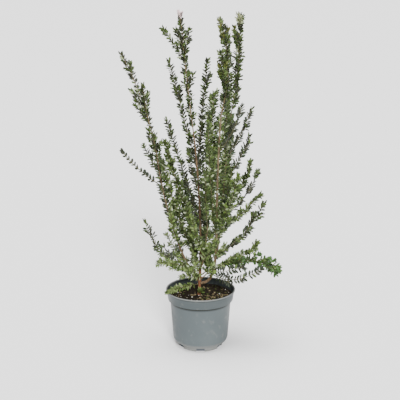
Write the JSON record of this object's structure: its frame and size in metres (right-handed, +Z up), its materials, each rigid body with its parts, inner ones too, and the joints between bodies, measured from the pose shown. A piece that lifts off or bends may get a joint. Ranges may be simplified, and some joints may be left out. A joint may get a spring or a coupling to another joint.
{
  "type": "potted tarentum myrtle shrub",
  "caption": "Young evergreen myrtle shrub with slim upright leafy shoots, growing in a round grey nursery pot filled with soil.",
  "frame": {"origin": "middle of the pot's flat underside", "axes": "+Z up, the picture's viewer stands at -Y, +X to the viewer's right"},
  "size_m": [0.4438, 0.3383, 0.918],
  "materials": {
    "pot_plastic": "satin moulded plastic",
    "soil": "rough, moist",
    "bark": "matte, finely ridged",
    "foliage": "leathery leaves, half gloss"
  },
  "bodies": {
    "root": {"bough_back": "bark", "bough_front": "bark", "bough_left": "bark", "bough_right": "bark", "bough_right_back": "bark", "foliage_back_low": "foliage", "foliage_back_top": "foliage", "foliage_centre_front": "foliage", "foliage_fill_back_high": "foliage", "foliage_fill_back_left": "foliage", "foliage_fill_back_mid": "foliage", "foliage_fill_centre": "foliage", "foliage_fill_front_left": "foliage", "foliage_fill_front_low": "foliage", "foliage_fill_left_front": "foliage", "foliage_fill_left_low": "foliage", "foliage_fill_left_mid": "foliage", "foliage_fill_right_back": "foliage", "foliage_fill_right_high": "foliage", "foliage_fill_right_low": "foliage", "foliage_fill_right_top": "foliage", "foliage_fill_trunk_left": "foliage", "foliage_front_top": "foliage", "foliage_leader": "foliage", "foliage_leader_side": "foliage", "foliage_left_back_long": "foliage", "foliage_left_bright": "foliage", "foliage_left_front_long": "foliage", "foliage_left_short": "foliage", "foliage_left_thin": "foliage", "foliage_left_top": "foliage", "foliage_low_left": "foliage", "foliage_low_left_back": "foliage", "foliage_low_left_front": "foliage", "foliage_low_right": "foliage", "foliage_low_right_thin": "foliage", "foliage_low_right_up": "foliage", "foliage_mid_back": "foliage", "foliage_mid_left": "foliage", "foliage_pot_left": "foliage", "foliage_right_back_top": "foliage", "foliage_right_fan": "foliage", "foliage_right_fan_back": "foliage", "foliage_right_fan_front": "foliage", "foliage_right_inner": "foliage", "foliage_right_inner_low": "foliage", "foliage_right_low": "foliage", "foliage_right_low_back": "foliage", "foliage_right_top": "foliage", "foliage_right_wing_back": "foliage", "foliage_right_wing_front": "foliage", "pot": "pot_plastic", "soil": "soil", "trunk": "bark"}
  },
  "joints": []
}
